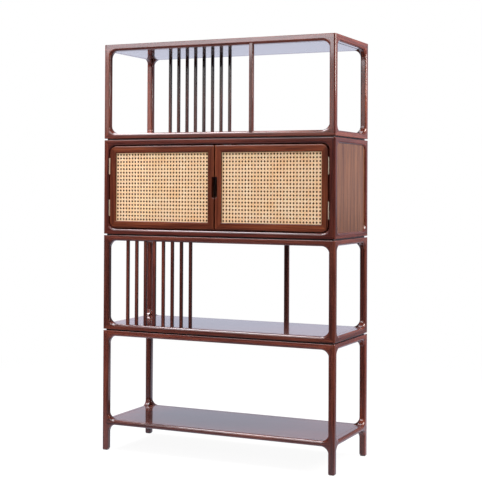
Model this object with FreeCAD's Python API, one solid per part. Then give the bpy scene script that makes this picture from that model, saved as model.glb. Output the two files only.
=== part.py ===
import FreeCAD, Part
import os
from FreeCAD import Vector

os.makedirs("parts", exist_ok=True)

# A book cabinet in four stacked tiers, in millimetres, with +Z up and the front facing -Y.
# The origin is the middle of the footprint, on the floor.
# From the floor: an open base on legs, a lower open tier, a cabinet tier with two cane doors,
# and a top open tier with a roof. Each tier is its own frame of posts and rails. It stands on
# the tier below through a thin spacer set back from the faces, which leaves a shadow line.

# Overall size, and the heights of the tiers
width = 1100.0
depth = 415.0
base_height = 532.0
lower_height = 418.0
cabinet_height = 418.0
top_height = 420.0
spacer_height = 6.0

# Frame members: a post is square, and a rail is as deep as a post is wide
post = 27.0
rail = 24.0
roof_rail = 29.0
shelf_rail = 23.0
shelf_clear_height = 113.0
corner_radius = 34.0
edge_chamfer = 3.5

# Corner joints: a tenon on each post end, and a pair of tenons on each shelf rail end
post_tenon = 9.0
post_tenon_inset = 6.0
shelf_tenon_depth = 9.0
shelf_tenon_height = 6.0
shelf_tenon_setback = 6.0
shelf_tenon_end = 8.0
shelf_tenon_apart = 1.0
joint_clearance = 0.1

# Panels that lie in grooves round the inside of the rails
panel_groove = 6.0
tongue_thickness = 6.0
tongue_clearance = 0.1
panel_clearance = 0.3
shelf_thickness = 14.0
shelf_recess = 0.5
roof_thickness = 22.0
roof_lift = 4.0
cabinet_top_thickness = 18.0

# Boards that close the cabinet's two sides and its back, in slots in the frame
board_thickness = 9.0
board_recess = 7.0
board_slot = 6.0

# Slats and dividers, tenoned into the rails
slat_count = 8
slat = 11.0
slat_chamfer = 1.5
slat_first = 120.0
slat_pitch = 44.5
slat_tenon = 7.0
slat_tenon_length = 6.0
divider = 16.0
divider_chamfer = 2.5
divider_place = 719.0
divider_housing = 4.0
divider_tenon = 9.0
divider_tenon_length = 6.0

# Spacers between the tiers, and the flat pegs that hold a tier in place on the one below
spacer_setback = 12.0
peg_length = 24.0
peg_thickness = 6.0
peg_depth = 11.0
peg_setback = 17.0
peg_from_end = 150.0
peg_clearance = 0.1

# Felt pads under the legs
pad_size = 20.0
pad_thickness = 2.0

# Doors
door_gap = 3.5
meeting_gap = 3.0
door_recess = 2.0
door_thickness = 18.0
door_stile = 31.0
door_rail = 31.0
door_chamfer = 2.0
door_window_chamfer = 1.2
cane_setback = 6.0
cane_thickness = 2.0
cane_rebate = 6.0
bead_clearance = 0.2
finger_slot_width = 26.0
finger_slot_height = 90.0
finger_slot_radius = 6.0

# Hinges: two to a door, with the pin in the middle of the gap beside the door
hinge_height = 72.0
hinge_from_end = 53.0
hinge_barrel = 5.5
hinge_pin = 2.5
hinge_leaf = 1.5
hinge_leaf_depth = 16.0
hinge_pin_setback = 3.0
pin_short = 2.0
knuckle_gap = 0.3
pin_clearance = 0.06
barrel_clearance = 0.4

# Magnetic catches under the cabinet top, with a strike plate on each door
catch_length = 36.0
catch_depth = 16.0
catch_height = 13.0
catch_from_middle = 45.0
catch_clearance = 0.3
strike_length = 28.0
strike_height = 9.0
strike_thickness = 1.0
strike_edge = 1.5

# How far a cutting tool runs past what it cuts
overrun = 2.0

half_width = width / 2
half_depth = depth / 2
lower_bottom = base_height + spacer_height
lower_top = lower_bottom + lower_height
cabinet_bottom = lower_top + spacer_height
cabinet_top = cabinet_bottom + cabinet_height
top_bottom = cabinet_top + spacer_height
top_top = top_bottom + top_height
corners = {
    "front_left": (-1, -1),
    "front_right": (1, -1),
    "rear_left": (-1, 1),
    "rear_right": (1, 1),
}


def box(x, y, z):
    """A box from three (low, high) pairs, in either order."""
    low = Vector(min(x), min(y), min(z))
    return Part.makeBox(max(x) - low.x, max(y) - low.y, max(z) - low.z, low)


def from_corner(side, half, distance):
    """A coordinate measured inwards from the outer face on one side."""
    return side * (half - distance)


def prism(points, direction):
    """A polygon carried along a direction."""
    wire = Part.makePolygon(points + points[:1])
    return Part.Face(wire).extrude(direction)


def cylinder(diameter, bottom, height, x, y):
    return Part.makeCylinder(diameter / 2, height, Vector(x, y, bottom))


def save(name, *solids):
    """Write one node, as one solid or as a group of separate ones."""
    found = []
    for shape in solids:
        clean = shape.removeSplitter()
        found.extend(clean.Solids)
    for solid in found:
        if not solid.isValid():
            raise ValueError(name + " is not a valid solid")
    node = found[0] if len(found) == 1 else Part.makeCompound(found)
    node.exportStep("parts/" + name + ".step")
    volume = sum(solid.Volume for solid in found)
    print(f"{name}: {len(found)} solid(s), {volume / 1000:.1f} cm3")


# The frame of a tier

def window_outline(half, low, high, open_below):
    """The outline of an opening between two posts, as edges in a plane (across, up).

    Its corners are rounded. An opening between legs runs down past the floor instead.
    """
    reach = half - post
    turn = corner_radius
    mid = turn * (1 - 0.5 ** 0.5)

    def point(across, up):
        return Vector(across, 0, up)

    def arc(start, middle, end):
        return Part.Arc(start, middle, end).toShape()

    edges = [
        Part.LineSegment(point(-reach + turn, high), point(reach - turn, high)).toShape(),
        arc(point(reach - turn, high), point(reach - mid, high - mid), point(reach, high - turn)),
        arc(point(-reach, high - turn), point(-reach + mid, high - mid), point(-reach + turn, high)),
    ]
    if open_below:
        foot = low - overrun
        edges.append(Part.LineSegment(point(reach, high - turn), point(reach, foot)).toShape())
        edges.append(Part.LineSegment(point(reach, foot), point(-reach, foot)).toShape())
        edges.append(Part.LineSegment(point(-reach, foot), point(-reach, high - turn)).toShape())
    else:
        right_foot = point(reach - mid, low + mid)
        left_foot = point(-reach + mid, low + mid)
        edges.append(Part.LineSegment(point(reach, high - turn), point(reach, low + turn)).toShape())
        edges.append(arc(point(reach, low + turn), right_foot, point(reach - turn, low)))
        edges.append(Part.LineSegment(point(reach - turn, low), point(-reach + turn, low)).toShape())
        edges.append(arc(point(-reach + turn, low), left_foot, point(-reach, low + turn)))
        edges.append(Part.LineSegment(point(-reach, low + turn), point(-reach, high - turn)).toShape())
    return edges


def window_cutters(low, high, open_below=False):
    """The two prisms that cut an opening through front and rear, and through both sides."""
    faces = []
    for half in (half_width, half_depth):
        edges = Part.__sortEdges__(window_outline(half, low, high, open_below))
        faces.append(Part.Face(Part.Wire(edges)))
    across_front, across_side = faces
    across_side.rotate(Vector(0, 0, 0), Vector(0, 0, 1), 90)
    across_front.translate(Vector(0, -half_depth - overrun, 0))
    across_side.translate(Vector(-half_width - overrun, 0, 0))
    front = across_front.extrude(Vector(0, depth + 2 * overrun, 0))
    side = across_side.extrude(Vector(width + 2 * overrun, 0, 0))
    return [front, side]


def tier_frame(bottom, top, windows, legs=False):
    """One tier's frame in one piece: a hollow block, opened on four sides, with eased edges.

    windows holds the (low, high, open below) of each row of openings.
    """
    block = box((-half_width, half_width), (-half_depth, half_depth), (bottom, top))
    outer = []
    for edge in block.Edges:
        at_foot = edge.BoundBox.ZMax < bottom + edge_chamfer
        if not (legs and at_foot):
            outer.append(edge)
    block = block.makeChamfer(edge_chamfer, outer)
    inner = box(
        (-half_width + post, half_width - post),
        (-half_depth + post, half_depth - post),
        (bottom - overrun, top + overrun),
    )
    cutters = [inner]
    for low, high, open_below in windows:
        cutters.extend(window_cutters(low, high, open_below))
    return block.cut(cutters)


# How a frame comes apart into posts and rails. At each corner of a tier three members meet in
# a three-way mitre: a point belongs to the member along which it lies furthest from the corner,
# counted in that member's own thickness. The rounding in each opening's corner is cut from the
# same wood, half by the post and half by the rail.

mitre_start_share = -0.1
mitre_end_share = (post + corner_radius + overrun) / post


def plan_region(axis, side):
    """In plan, the trapezoid of a rail along X or Y, between the two mitres at its ends."""
    out = -overrun
    reach = post + overrun
    along, across = (half_width, half_depth) if axis == "x" else (half_depth, half_width)
    rim = [(-along + out, out), (along - out, out), (along - reach, reach), (-along + reach, reach)]
    points = [(a, from_corner(side, across, b)) for a, b in rim]
    return points if axis == "x" else [(a, b) for b, a in points]


def rail_region(axis, side, outline, low, high):
    """The space of one rail: its outline seen from the front or side, inside its plan."""
    plan = prism([Vector(x, y, low) for x, y in plan_region(axis, side)], Vector(0, 0, high - low))
    if axis == "x":
        start = -half_depth - overrun
        seen = prism([Vector(a, start, z) for a, z in outline], Vector(0, depth + 2 * overrun, 0))
    else:
        start = -half_width - overrun
        seen = prism([Vector(start, a, z) for a, z in outline], Vector(width + 2 * overrun, 0, 0))
    return plan.common(seen)


def end_outline(half, level, height, inwards):
    """A rail at the top or bottom of a tier, whose ends are mitred from the outer corner."""
    points = []
    ends = (
        (-1, mitre_start_share),
        (1, mitre_start_share),
        (1, mitre_end_share),
        (-1, mitre_end_share),
    )
    for side, share in ends:
        points.append((from_corner(side, half, post * share), level + inwards * height * share))
    return points


def shelf_outline(half, middle, height):
    """A rail between its posts' ends: its own ends come to a point inside the posts."""
    apex = post - height / 2
    far = post + corner_radius + overrun
    rise = far - apex
    return [
        (-half + apex, middle),
        (-half + far, middle + rise),
        (half - far, middle + rise),
        (half - apex, middle),
        (half - far, middle - rise),
        (-half + far, middle - rise),
    ]


def rail_set(outline, low, high):
    """The spaces of the four rails at one level, by name."""
    spaces = {}
    for name, axis, side, half in (
        ("front", "x", -1, half_width),
        ("rear", "x", 1, half_width),
        ("left", "y", -1, half_depth),
        ("right", "y", 1, half_depth),
    ):
        spaces[name] = rail_region(axis, side, outline(half), low, high)
    return spaces


def end_rails(level, height, inwards):
    low = min(level, level + inwards * height * mitre_end_share) - overrun
    high = max(level, level + inwards * height * mitre_end_share) + overrun
    return rail_set(lambda half: end_outline(half, level, height, inwards), low, high)


def shelf_rails(middle, height):
    reach = height / 2 + corner_radius + 2 * overrun
    return rail_set(lambda half: shelf_outline(half, middle, height), middle - reach, middle + reach)


def post_tenons(level, height, inwards, grow):
    """The tenon on each post end at one level, larger by grow where it is a mortise."""
    near = (post - post_tenon) / 2 - grow
    far = (post + post_tenon) / 2 + grow
    found = {}
    for name, (side_x, side_y) in corners.items():
        x = (from_corner(side_x, half_width, near), from_corner(side_x, half_width, far))
        y = (from_corner(side_y, half_depth, near), from_corner(side_y, half_depth, far))
        z = (level + inwards * (post_tenon_inset - grow), level + inwards * height)
        found[name] = box(x, y, z)
    return found


def shelf_tenons(middle, height, grow):
    """The tenons on the shelf rails' ends, by rail: those along X lie above those along Y."""
    root = post - height / 2 + shelf_tenon_apart + shelf_tenon_height
    found = {"front": [], "rear": [], "left": [], "right": []}
    along = (shelf_tenon_end - grow, root)
    across = (shelf_tenon_setback - grow, shelf_tenon_setback + shelf_tenon_depth + grow)
    rise = (shelf_tenon_apart - grow, shelf_tenon_apart + shelf_tenon_height + grow)
    for side_x, side_y in corners.values():
        x = [from_corner(side_x, half_width, a) for a in along]
        y = [from_corner(side_y, half_depth, a) for a in across]
        z = [middle + a for a in rise]
        found["front" if side_y < 0 else "rear"].append(box(x, y, z))
        x = [from_corner(side_x, half_width, a) for a in across]
        y = [from_corner(side_y, half_depth, a) for a in along]
        z = [middle - a for a in rise]
        found["left" if side_x < 0 else "right"].append(box(x, y, z))
    return found


def corner_column(name, bottom, top):
    """The space round one corner of a tier, wide enough for the post and its roundings."""
    side_x, side_y = corners[name]
    reach = post + corner_radius + overrun
    x = (from_corner(side_x, half_width, -overrun), from_corner(side_x, half_width, reach))
    y = (from_corner(side_y, half_depth, -overrun), from_corner(side_y, half_depth, reach))
    return box(x, y, (bottom - overrun, top + overrun))


def split_tier(frame, bottom, top, levels, shelf=None):
    """Cut a tier's frame into its posts and rails.

    levels holds (name, level, rail height, inwards) of each set of end rails, where inwards
    is 1 at the tier's bottom and -1 at its top. shelf holds (name, middle, height) of a set
    of rails between the ends. It returns the posts by corner and the rails by set name.
    """
    posts = {}
    rails = {}
    spaces = []
    for name, level, height, inwards in levels:
        found = end_rails(level, height, inwards)
        mortises = list(post_tenons(level, height, inwards, joint_clearance).values())
        rails[name] = [frame.common(space).cut(mortises) for space in found.values()]
        spaces.extend(found.values())
    shelf_mortises = []
    if shelf:
        name, middle, height = shelf
        found = shelf_rails(middle, height)
        tenons = shelf_tenons(middle, height, 0)
        for group in shelf_tenons(middle, height, joint_clearance).values():
            shelf_mortises.extend(group)
        rails[name] = [frame.common(found[key]).fuse(tenons[key]) for key in found]
        spaces.extend(found.values())
    for corner in corners:
        piece = frame.common(corner_column(corner, bottom, top)).cut(spaces + shelf_mortises)
        tenons = [post_tenons(level, height, inwards, 0)[corner] for _, level, height, inwards in levels]
        posts[corner] = piece.fuse(tenons)
    return posts, rails


# Panels and boards

def panel_groove_cutter(middle):
    """The groove round the inside of the rails, for a panel whose tongue is at this level."""
    x = half_width - post + panel_groove
    y = half_depth - post + panel_groove
    z = tongue_thickness / 2 + tongue_clearance
    return box((-x, x), (-y, y), (middle - z, middle + z))


def framed_panel(low, high):
    """A panel between the rails, with a tongue round its edge that lies in their groove."""
    x = half_width - post - panel_clearance
    y = half_depth - post - panel_clearance
    middle = (low + high) / 2
    tongue = panel_groove - panel_clearance
    board = box((-x, x), (-y, y), (low, high))
    x = half_width - post + tongue
    y = half_depth - post + tongue
    rim = box((-x, x), (-y, y), (middle - tongue_thickness / 2, middle + tongue_thickness / 2))
    return board.fuse(rim)


def side_board(side, grow):
    """A board that closes one side of the cabinet, or its slot when it is grown."""
    outer = board_recess - grow / 2
    inner = board_recess + board_thickness + grow / 2
    y = half_depth - post + board_slot - panel_clearance + grow
    low = cabinet_bottom + rail - board_slot + panel_clearance - grow
    high = cabinet_top - rail + board_slot - panel_clearance + grow
    x = (from_corner(side, half_width, outer), from_corner(side, half_width, inner))
    return box(x, (-y, y), (low, high))


def back_board(grow):
    """The board that closes the cabinet's back, or its slot when it is grown."""
    x = half_width - post + board_slot - panel_clearance + grow
    outer = board_recess - grow / 2
    inner = board_recess + board_thickness + grow / 2
    y = (from_corner(1, half_depth, outer), from_corner(1, half_depth, inner))
    low = cabinet_bottom + rail - board_slot + panel_clearance - grow
    high = cabinet_top - rail + board_slot - panel_clearance + grow
    return box((-x, x), y, (low, high))


# Slats and dividers

def square_shaft(size, chamfer, x, y, low, high):
    """A square upright whose four long edges are eased."""
    half = size / 2
    shaft = box((x - half, x + half), (y - half, y + half), (low, high))
    standing = [e for e in shaft.Edges if e.BoundBox.ZLength > size]
    return shaft.makeChamfer(chamfer, standing)


def end_tenons(x, y, low, high, size, length):
    """One square bar whose two ends are the tenons of an upright."""
    half = size / 2
    return box((x - half, x + half), (y - half, y + half), (low - length, high + length))


def tenon_mortises(x, y, low, high, size, length):
    """The holes for an upright's tenons, in the rails below and above it."""
    grow = joint_clearance
    return end_tenons(x, y, low, high, size + 2 * grow, length + grow)


def slat_places():
    return [-half_width + slat_first + slat_pitch * i for i in range(slat_count)]


def slat_row(y, low, high):
    """The slats of one tier."""
    found = []
    for x in slat_places():
        shaft = square_shaft(slat, slat_chamfer, x, y, low, high)
        found.append(shaft.fuse(end_tenons(x, y, low, high, slat_tenon, slat_tenon_length)))
    return found


def divider_upright(x, y, low, high):
    shaft = square_shaft(divider, divider_chamfer, x, y, low, high)
    return shaft.fuse(end_tenons(x, y, low, high, divider_tenon, divider_tenon_length))


def divider_seat(x, y, low, high):
    """The housing for a divider's feet and the mortises for its tenons, as one cutter."""
    shaft = square_shaft(divider, divider_chamfer, x, y, low, high)
    return shaft.fuse(tenon_mortises(x, y, low, high, divider_tenon, divider_tenon_length))


# Flat pegs through each spacer, into the rails on both sides of it

def tier_pegs(level, grow):
    """The four pegs through the spacer above this level, larger by grow for their mortises."""
    found = []
    for side_x, side_y in corners.values():
        start = from_corner(side_x, half_width, peg_from_end - grow)
        end = from_corner(side_x, half_width, peg_from_end + peg_length + grow)
        middle = from_corner(side_y, half_depth, peg_setback)
        half = peg_thickness / 2 + grow
        reach = peg_depth + grow
        z = (level - reach, level + spacer_height + reach)
        found.append(box((start, end), (middle - half, middle + half), z))
    return found


spacer_levels = (base_height, lower_top, cabinet_top)
all_peg_mortises = []
for level in spacer_levels:
    all_peg_mortises.extend(tier_pegs(level, peg_clearance))

# The base: legs, top rails, and shelf rails with a panel

shelf_middle = shelf_clear_height + shelf_rail / 2
shelf_top = shelf_clear_height + shelf_rail - shelf_recess
base_windows = [
    (pad_thickness, shelf_clear_height, True),
    (shelf_clear_height + shelf_rail, base_height - rail, False),
]
base_frame = tier_frame(pad_thickness, base_height, base_windows, legs=True)
pads = []
for side_x, side_y in corners.values():
    edges = ((post - pad_size) / 2, (post + pad_size) / 2)
    x = [from_corner(side_x, half_width, a) for a in edges]
    y = [from_corner(side_y, half_depth, a) for a in edges]
    pads.append(box(x, y, (0, pad_thickness)))
cutters = [panel_groove_cutter(shelf_top - shelf_thickness / 2)] + all_peg_mortises
base_frame = base_frame.cut(cutters)
base_posts, base_rails = split_tier(
    base_frame,
    pad_thickness,
    base_height,
    [("base_top_rails", base_height, rail, -1)],
    ("base_shelf_rails", shelf_middle, shelf_rail),
)
for corner, piece in base_posts.items():
    save("base_leg_" + corner, piece)
for name, pieces in base_rails.items():
    save(name, *pieces)
save("base_shelf_panel", framed_panel(shelf_top - shelf_thickness, shelf_top))
save("leg_pads", *pads)

# The lower open tier: slats at the front left, and a divider at the rear

window_low = lower_bottom + rail
window_high = lower_top - rail
slat_y = from_corner(-1, half_depth, post / 2)
divider_x = -half_width + divider_place
divider_y = from_corner(1, half_depth, divider / 2)
floor_top = window_low - shelf_recess
cutters = [panel_groove_cutter(floor_top - shelf_thickness / 2)] + all_peg_mortises
for x in slat_places():
    cutters.append(tenon_mortises(x, slat_y, window_low, window_high, slat_tenon, slat_tenon_length))
foot = window_low - divider_housing
head = window_high + divider_housing
cutters.append(divider_seat(divider_x, divider_y, foot, head))
lower_frame = tier_frame(lower_bottom, lower_top, [(window_low, window_high, False)]).cut(cutters)
lower_posts, lower_rails = split_tier(
    lower_frame,
    lower_bottom,
    lower_top,
    [("lower_bottom_rails", lower_bottom, rail, 1), ("lower_top_rails", lower_top, rail, -1)],
)
for corner, piece in lower_posts.items():
    save("lower_post_" + corner, piece)
for name, pieces in lower_rails.items():
    save(name, *pieces)
save("lower_shelf_panel", framed_panel(floor_top - shelf_thickness, floor_top))
save("lower_slats", *slat_row(slat_y, window_low, window_high))
save("lower_divider", divider_upright(divider_x, divider_y, foot, head))

# The cabinet tier's frame, boards and panels

window_low = cabinet_bottom + rail
window_high = cabinet_top - rail
floor_top = window_low - shelf_recess
ceiling = window_high
door_low = window_low + door_gap
door_high = window_high - door_gap
pin_x = half_width - post - door_gap / 2
pin_y = from_corner(-1, half_depth, hinge_pin_setback)
hinge_bottoms = (door_low + hinge_from_end, door_high - hinge_from_end - hinge_height)


def barrel_reliefs(side):
    """The hollows for the hinge barrels beside one door, in the post and in the door."""
    found = []
    size = hinge_barrel + 2 * barrel_clearance
    height = hinge_height + 2 * barrel_clearance
    for bottom in hinge_bottoms:
        found.append(cylinder(size, bottom - barrel_clearance, height, side * pin_x, pin_y))
    return found


cutters = [
    panel_groove_cutter(floor_top - shelf_thickness / 2),
    panel_groove_cutter(ceiling + cabinet_top_thickness / 2),
    side_board(-1, joint_clearance),
    side_board(1, joint_clearance),
    back_board(joint_clearance),
]
cabinet_frame = tier_frame(cabinet_bottom, cabinet_top, [(window_low, window_high, False)])
cabinet_frame = cabinet_frame.cut(cutters + all_peg_mortises + barrel_reliefs(-1) + barrel_reliefs(1))
cabinet_posts, cabinet_rails = split_tier(
    cabinet_frame,
    cabinet_bottom,
    cabinet_top,
    [("cabinet_bottom_rails", cabinet_bottom, rail, 1), ("cabinet_top_rails", cabinet_top, rail, -1)],
)
for corner, piece in cabinet_posts.items():
    save("cabinet_post_" + corner, piece)
for name, pieces in cabinet_rails.items():
    save(name, *pieces)
save("cabinet_floor_panel", framed_panel(floor_top - shelf_thickness, floor_top))
save("cabinet_top_panel", framed_panel(ceiling, ceiling + cabinet_top_thickness))
save("cabinet_side_panel_left", side_board(-1, 0))
save("cabinet_side_panel_right", side_board(1, 0))
save("cabinet_back_panel", back_board(0))

# The doors. Each is drawn at the right and mirrored for the left. Seen from the front, its
# frame is four members mitred at the corners, and the two outer corners are rounded to follow
# the opening. The cane lies in a rebate at the back, held by beads.

door_inner = meeting_gap / 2
door_outer = half_width - post - door_gap
door_front = from_corner(-1, half_depth, door_recess)
door_back = door_front + door_thickness
door_turn = corner_radius - door_gap
window_left = door_inner + door_stile
window_right = door_outer - door_stile
window_bottom = door_low + door_rail
window_top = door_high - door_rail
cane_front = door_front + cane_setback


def door_blank():
    """The door's outline, with its two outer corners rounded, one door thick."""
    bend = door_turn * (1 - 0.5 ** 0.5)
    y = door_front

    def line(a, b):
        return Part.LineSegment(Vector(a[0], y, a[1]), Vector(b[0], y, b[1])).toShape()

    top_arc = Part.Arc(
        Vector(door_outer - door_turn, y, door_high),
        Vector(door_outer - bend, y, door_high - bend),
        Vector(door_outer, y, door_high - door_turn),
    )
    low_arc = Part.Arc(
        Vector(door_outer, y, door_low + door_turn),
        Vector(door_outer - bend, y, door_low + bend),
        Vector(door_outer - door_turn, y, door_low),
    )
    edges = [
        line((door_inner, door_low), (door_inner, door_high)),
        line((door_inner, door_high), (door_outer - door_turn, door_high)),
        top_arc.toShape(),
        line((door_outer, door_high - door_turn), (door_outer, door_low + door_turn)),
        low_arc.toShape(),
        line((door_outer - door_turn, door_low), (door_inner, door_low)),
    ]
    return Part.Face(Part.Wire(edges)).extrude(Vector(0, door_thickness, 0))


def finger_notch():
    """Half of the finger slot, cut into the meeting edge and rounded at its two corners."""
    half = finger_slot_height / 2
    middle = (door_low + door_high) / 2
    notch = box(
        (-finger_slot_width / 2, finger_slot_width / 2),
        (door_front - overrun, door_back + overrun),
        (middle - half, middle + half),
    )
    across = [e for e in notch.Edges if e.BoundBox.YLength > door_thickness]
    return notch.makeFillet(finger_slot_radius, across)


def mitred_members(x, z, frame_x, frame_z, y):
    """The spaces of the four members of a rectangular frame, mitred corner to corner.

    x and z are the outer (low, high), and frame_x and frame_z are the members' widths.
    """
    out = mitre_start_share
    low = (x[0] + frame_x * out, x[1] - frame_x * out, z[0] + frame_z * out, z[1] - frame_z * out)
    inner = (x[0] + frame_x, x[1] - frame_x, z[0] + frame_z, z[1] - frame_z)
    outer_ring = [(low[0], low[2]), (low[1], low[2]), (low[1], low[3]), (low[0], low[3])]
    inner_ring = [(inner[0], inner[2]), (inner[1], inner[2]), (inner[1], inner[3]), (inner[0], inner[3])]
    names = ("bottom", "outer", "top", "inner")
    spaces = {}
    for i, name in enumerate(names):
        j = (i + 1) % len(names)
        points = [outer_ring[i], outer_ring[j], inner_ring[j], inner_ring[i]]
        spaces[name] = prism([Vector(a, y[0], b) for a, b in points], Vector(0, y[1] - y[0], 0))
    return spaces


def door_frame_members():
    blank = door_blank()
    front_edges = []
    for edge in blank.Edges:
        b = edge.BoundBox
        if b.YMax < door_front + overrun / 2:
            front_edges.append(edge)
    blank = blank.makeChamfer(door_chamfer, front_edges)
    through = (door_front - overrun, door_back + overrun)
    window = box((window_left, window_right), through, (window_bottom, window_top))
    blank = blank.cut([window, finger_notch()])
    rim = []
    for edge in blank.Edges:
        b = edge.BoundBox
        in_front = b.YMax < door_front + door_chamfer / 2
        inside = b.XMin > window_left - overrun and b.XMax < window_right + overrun
        level = b.ZMin > window_bottom - overrun and b.ZMax < window_top + overrun
        if in_front and inside and level:
            rim.append(edge)
    blank = blank.makeChamfer(door_window_chamfer, rim)
    rebate = box(
        (window_left - cane_rebate, window_right + cane_rebate),
        (cane_front, door_back + overrun),
        (window_bottom - cane_rebate, window_top + cane_rebate),
    )
    blank = blank.cut([rebate] + barrel_reliefs(1))
    spaces = mitred_members(
        (door_inner, door_outer),
        (door_low, door_high),
        door_stile,
        door_rail,
        (door_front - overrun, door_back + overrun),
    )
    return {name: blank.common(space) for name, space in spaces.items()}


def cane_panel():
    x = (window_left - cane_rebate + bead_clearance, window_right + cane_rebate - bead_clearance)
    z = (window_bottom - cane_rebate + bead_clearance, window_top + cane_rebate - bead_clearance)
    return box(x, (cane_front, cane_front + cane_thickness), z)


def cane_beads():
    """Four mitred strips that hold the cane in its rebate, flush with the door's back."""
    x = (window_left - cane_rebate + bead_clearance, window_right + cane_rebate - bead_clearance)
    z = (window_bottom - cane_rebate + bead_clearance, window_top + cane_rebate - bead_clearance)
    y = (cane_front + cane_thickness, door_back)
    bead = cane_rebate - bead_clearance
    through = (y[0] - overrun, y[1] + overrun)
    window = box((window_left, window_right), through, (window_bottom, window_top))
    ring = box(x, y, z).cut(window)
    return [ring.common(space) for space in mitred_members(x, z, bead, bead, y).values()]


# Lift-off hinges: the frame leaf has the lower knuckle with the pin fixed in it, and the door
# leaf has the upper knuckle, which drops over the pin

def hinge_leaf_piece(bottom, on_frame):
    """One leaf of a right-hand hinge, with its knuckle."""
    middle = bottom + hinge_height / 2
    lower = (bottom, middle - knuckle_gap / 2)
    upper = (middle + knuckle_gap / 2, bottom + hinge_height)
    mine, other = (lower, upper) if on_frame else (upper, lower)
    inner_face = half_width - post
    if on_frame:
        x = (inner_face - hinge_leaf, inner_face)
    else:
        x = (door_outer, door_outer + hinge_leaf)
    plate = box(x, (pin_y, pin_y + hinge_leaf_depth), (bottom, bottom + hinge_height))
    room = hinge_barrel + 2 * knuckle_gap
    height = other[1] - other[0] + 2 * knuckle_gap
    plate = plate.cut(cylinder(room, other[0] - knuckle_gap, height, pin_x, pin_y))
    leaf = plate.fuse(cylinder(hinge_barrel, mine[0], mine[1] - mine[0], pin_x, pin_y))
    if on_frame:
        pin_top = upper[1] - pin_short
        return leaf.fuse(cylinder(hinge_pin, lower[0], pin_top - lower[0], pin_x, pin_y))
    hole = hinge_pin + 2 * pin_clearance
    return leaf.cut(cylinder(hole, middle - overrun, hinge_height, pin_x, pin_y))


def strike_plate():
    """The plate on the door's back that the catch holds."""
    x = (catch_from_middle - strike_length / 2, catch_from_middle + strike_length / 2)
    z = (door_high - strike_edge - strike_height, door_high - strike_edge)
    return box(x, (door_back, door_back + strike_thickness), z)


def catch_body():
    """The magnetic catch, screwed up under the cabinet top behind the door."""
    x = (catch_from_middle - catch_length / 2, catch_from_middle + catch_length / 2)
    front = door_back + strike_thickness + catch_clearance
    return box(x, (front, front + catch_depth), (window_high - catch_height, window_high))


def mirrored(shape):
    return shape.mirror(Vector(0, 0, 0), Vector(1, 0, 0))


def as_drawn(shape):
    return shape


members = door_frame_members()
frame_leaves = []
catches = []
for side, turned in (("left", mirrored), ("right", as_drawn)):
    save(side + "_door_hinge_stile", turned(members["outer"]))
    save(side + "_door_meeting_stile", turned(members["inner"]))
    save(side + "_door_rails", turned(members["top"]), turned(members["bottom"]))
    save(side + "_door_cane_panel", turned(cane_panel()))
    save(side + "_door_cane_beads", *[turned(bead) for bead in cane_beads()])
    door_leaves = [hinge_leaf_piece(bottom, False) for bottom in hinge_bottoms]
    save(side + "_door_hinge_leaves", *[turned(leaf) for leaf in door_leaves])
    save(side + "_door_strike_plate", turned(strike_plate()))
    frame_leaves.extend(turned(hinge_leaf_piece(bottom, True)) for bottom in hinge_bottoms)
    catches.append(turned(catch_body()))
save("frame_hinge_leaves", *frame_leaves)
save("magnetic_catches", *catches)

# The top open tier: slats at the rear left, a divider at the front, and the roof

window_low = top_bottom + rail
window_high = top_top - roof_rail
slat_y = from_corner(1, half_depth, post / 2)
divider_y = from_corner(-1, half_depth, divider / 2)
floor_top = window_low - shelf_recess
roof_low = window_high + roof_lift
roof_high = roof_low + roof_thickness
cutters = [
    panel_groove_cutter(floor_top - shelf_thickness / 2),
    panel_groove_cutter((roof_low + roof_high) / 2),
]
for x in slat_places():
    cutters.append(tenon_mortises(x, slat_y, window_low, window_high, slat_tenon, slat_tenon_length))
foot = window_low - divider_housing
head = window_high + divider_housing
cutters.append(divider_seat(divider_x, divider_y, foot, head))
top_frame = tier_frame(top_bottom, top_top, [(window_low, window_high, False)])
top_frame = top_frame.cut(cutters + all_peg_mortises)
top_posts, top_rails = split_tier(
    top_frame,
    top_bottom,
    top_top,
    [("top_bottom_rails", top_bottom, rail, 1), ("roof_rails", top_top, roof_rail, -1)],
)
for corner, piece in top_posts.items():
    save("top_post_" + corner, piece)
for name, pieces in top_rails.items():
    save(name, *pieces)
save("top_floor_panel", framed_panel(floor_top - shelf_thickness, floor_top))
save("roof_panel", framed_panel(roof_low, roof_high))
save("top_slats", *slat_row(slat_y, window_low, window_high))
save("top_divider", divider_upright(divider_x, divider_y, foot, head))

# Spacers and pegs

strips = []
pegs = []
for level in spacer_levels:
    z = (level, level + spacer_height)
    holes = tier_pegs(level, peg_clearance)
    for side in (-1, 1):
        y = (from_corner(side, half_depth, spacer_setback), from_corner(side, half_depth, post))
        long_strip = box((-half_width + spacer_setback, half_width - spacer_setback), y, z)
        strips.append(long_strip.cut(holes))
        x = (from_corner(side, half_width, spacer_setback), from_corner(side, half_width, post))
        strips.append(box(x, (-half_depth + post, half_depth - post), z))
    pegs.extend(tier_pegs(level, 0))
save("tier_spacers", *strips)
save("tier_pegs", *pegs)
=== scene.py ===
# %% [markdown]
# # A book cabinet with cane doors
#
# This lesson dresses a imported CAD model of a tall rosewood-brown book cabinet: four stacked
# tiers of square posts and rails, two doors with woven cane, slats, and glossy shelves.
# The CAD model comes first as a fixed frame. Each later step adds a piece or a finish to it.
# All sizes below are in millimetres, as in the CAD. A mesh is scaled to metres when it is made.

# %% Load the frame
import math

import bpy
import numpy as np
from mathutils import Matrix, Vector


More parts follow.
